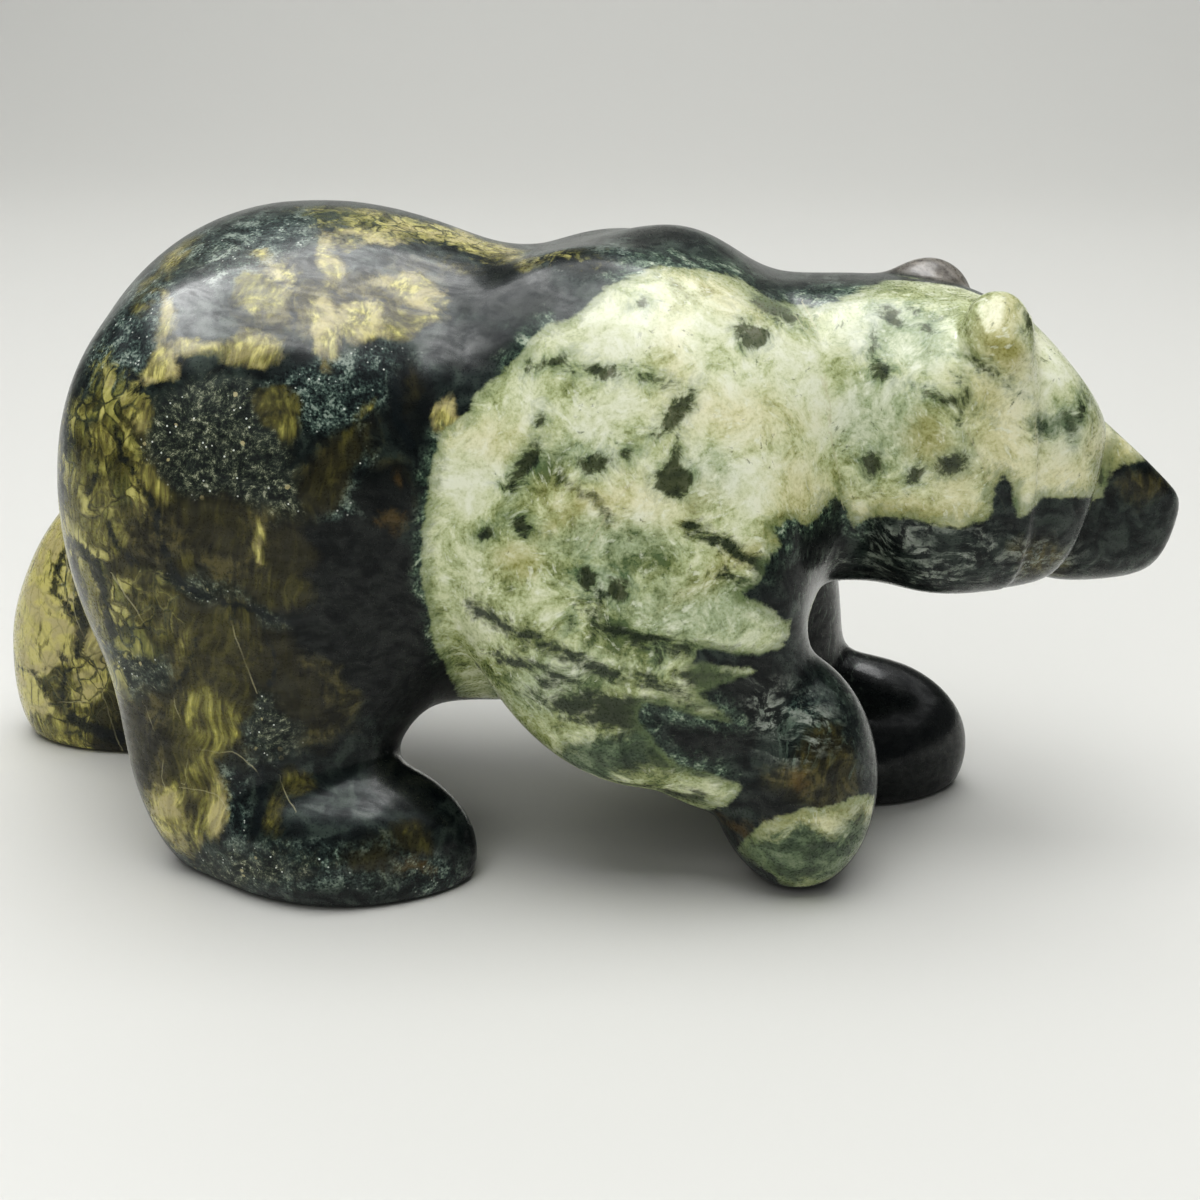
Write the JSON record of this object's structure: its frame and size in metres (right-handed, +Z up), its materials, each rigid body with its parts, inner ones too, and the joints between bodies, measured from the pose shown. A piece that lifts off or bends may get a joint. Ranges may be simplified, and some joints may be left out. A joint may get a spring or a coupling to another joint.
{
  "type": "soapstone bear carving",
  "caption": "Walking bear carved whole from dark and pale green mottled soapstone, standing on its own flat soles.",
  "frame": {"origin": "middle of the bounding box, at the level of the soles", "axes": "+X the way the bear walks, +Y its left side, +Z up"},
  "size_m": [0.1874, 0.078, 0.0938],
  "materials": {
    "soapstone": "satin"
  },
  "bodies": {
    "root": {"bear": "soapstone"}
  },
  "joints": []
}
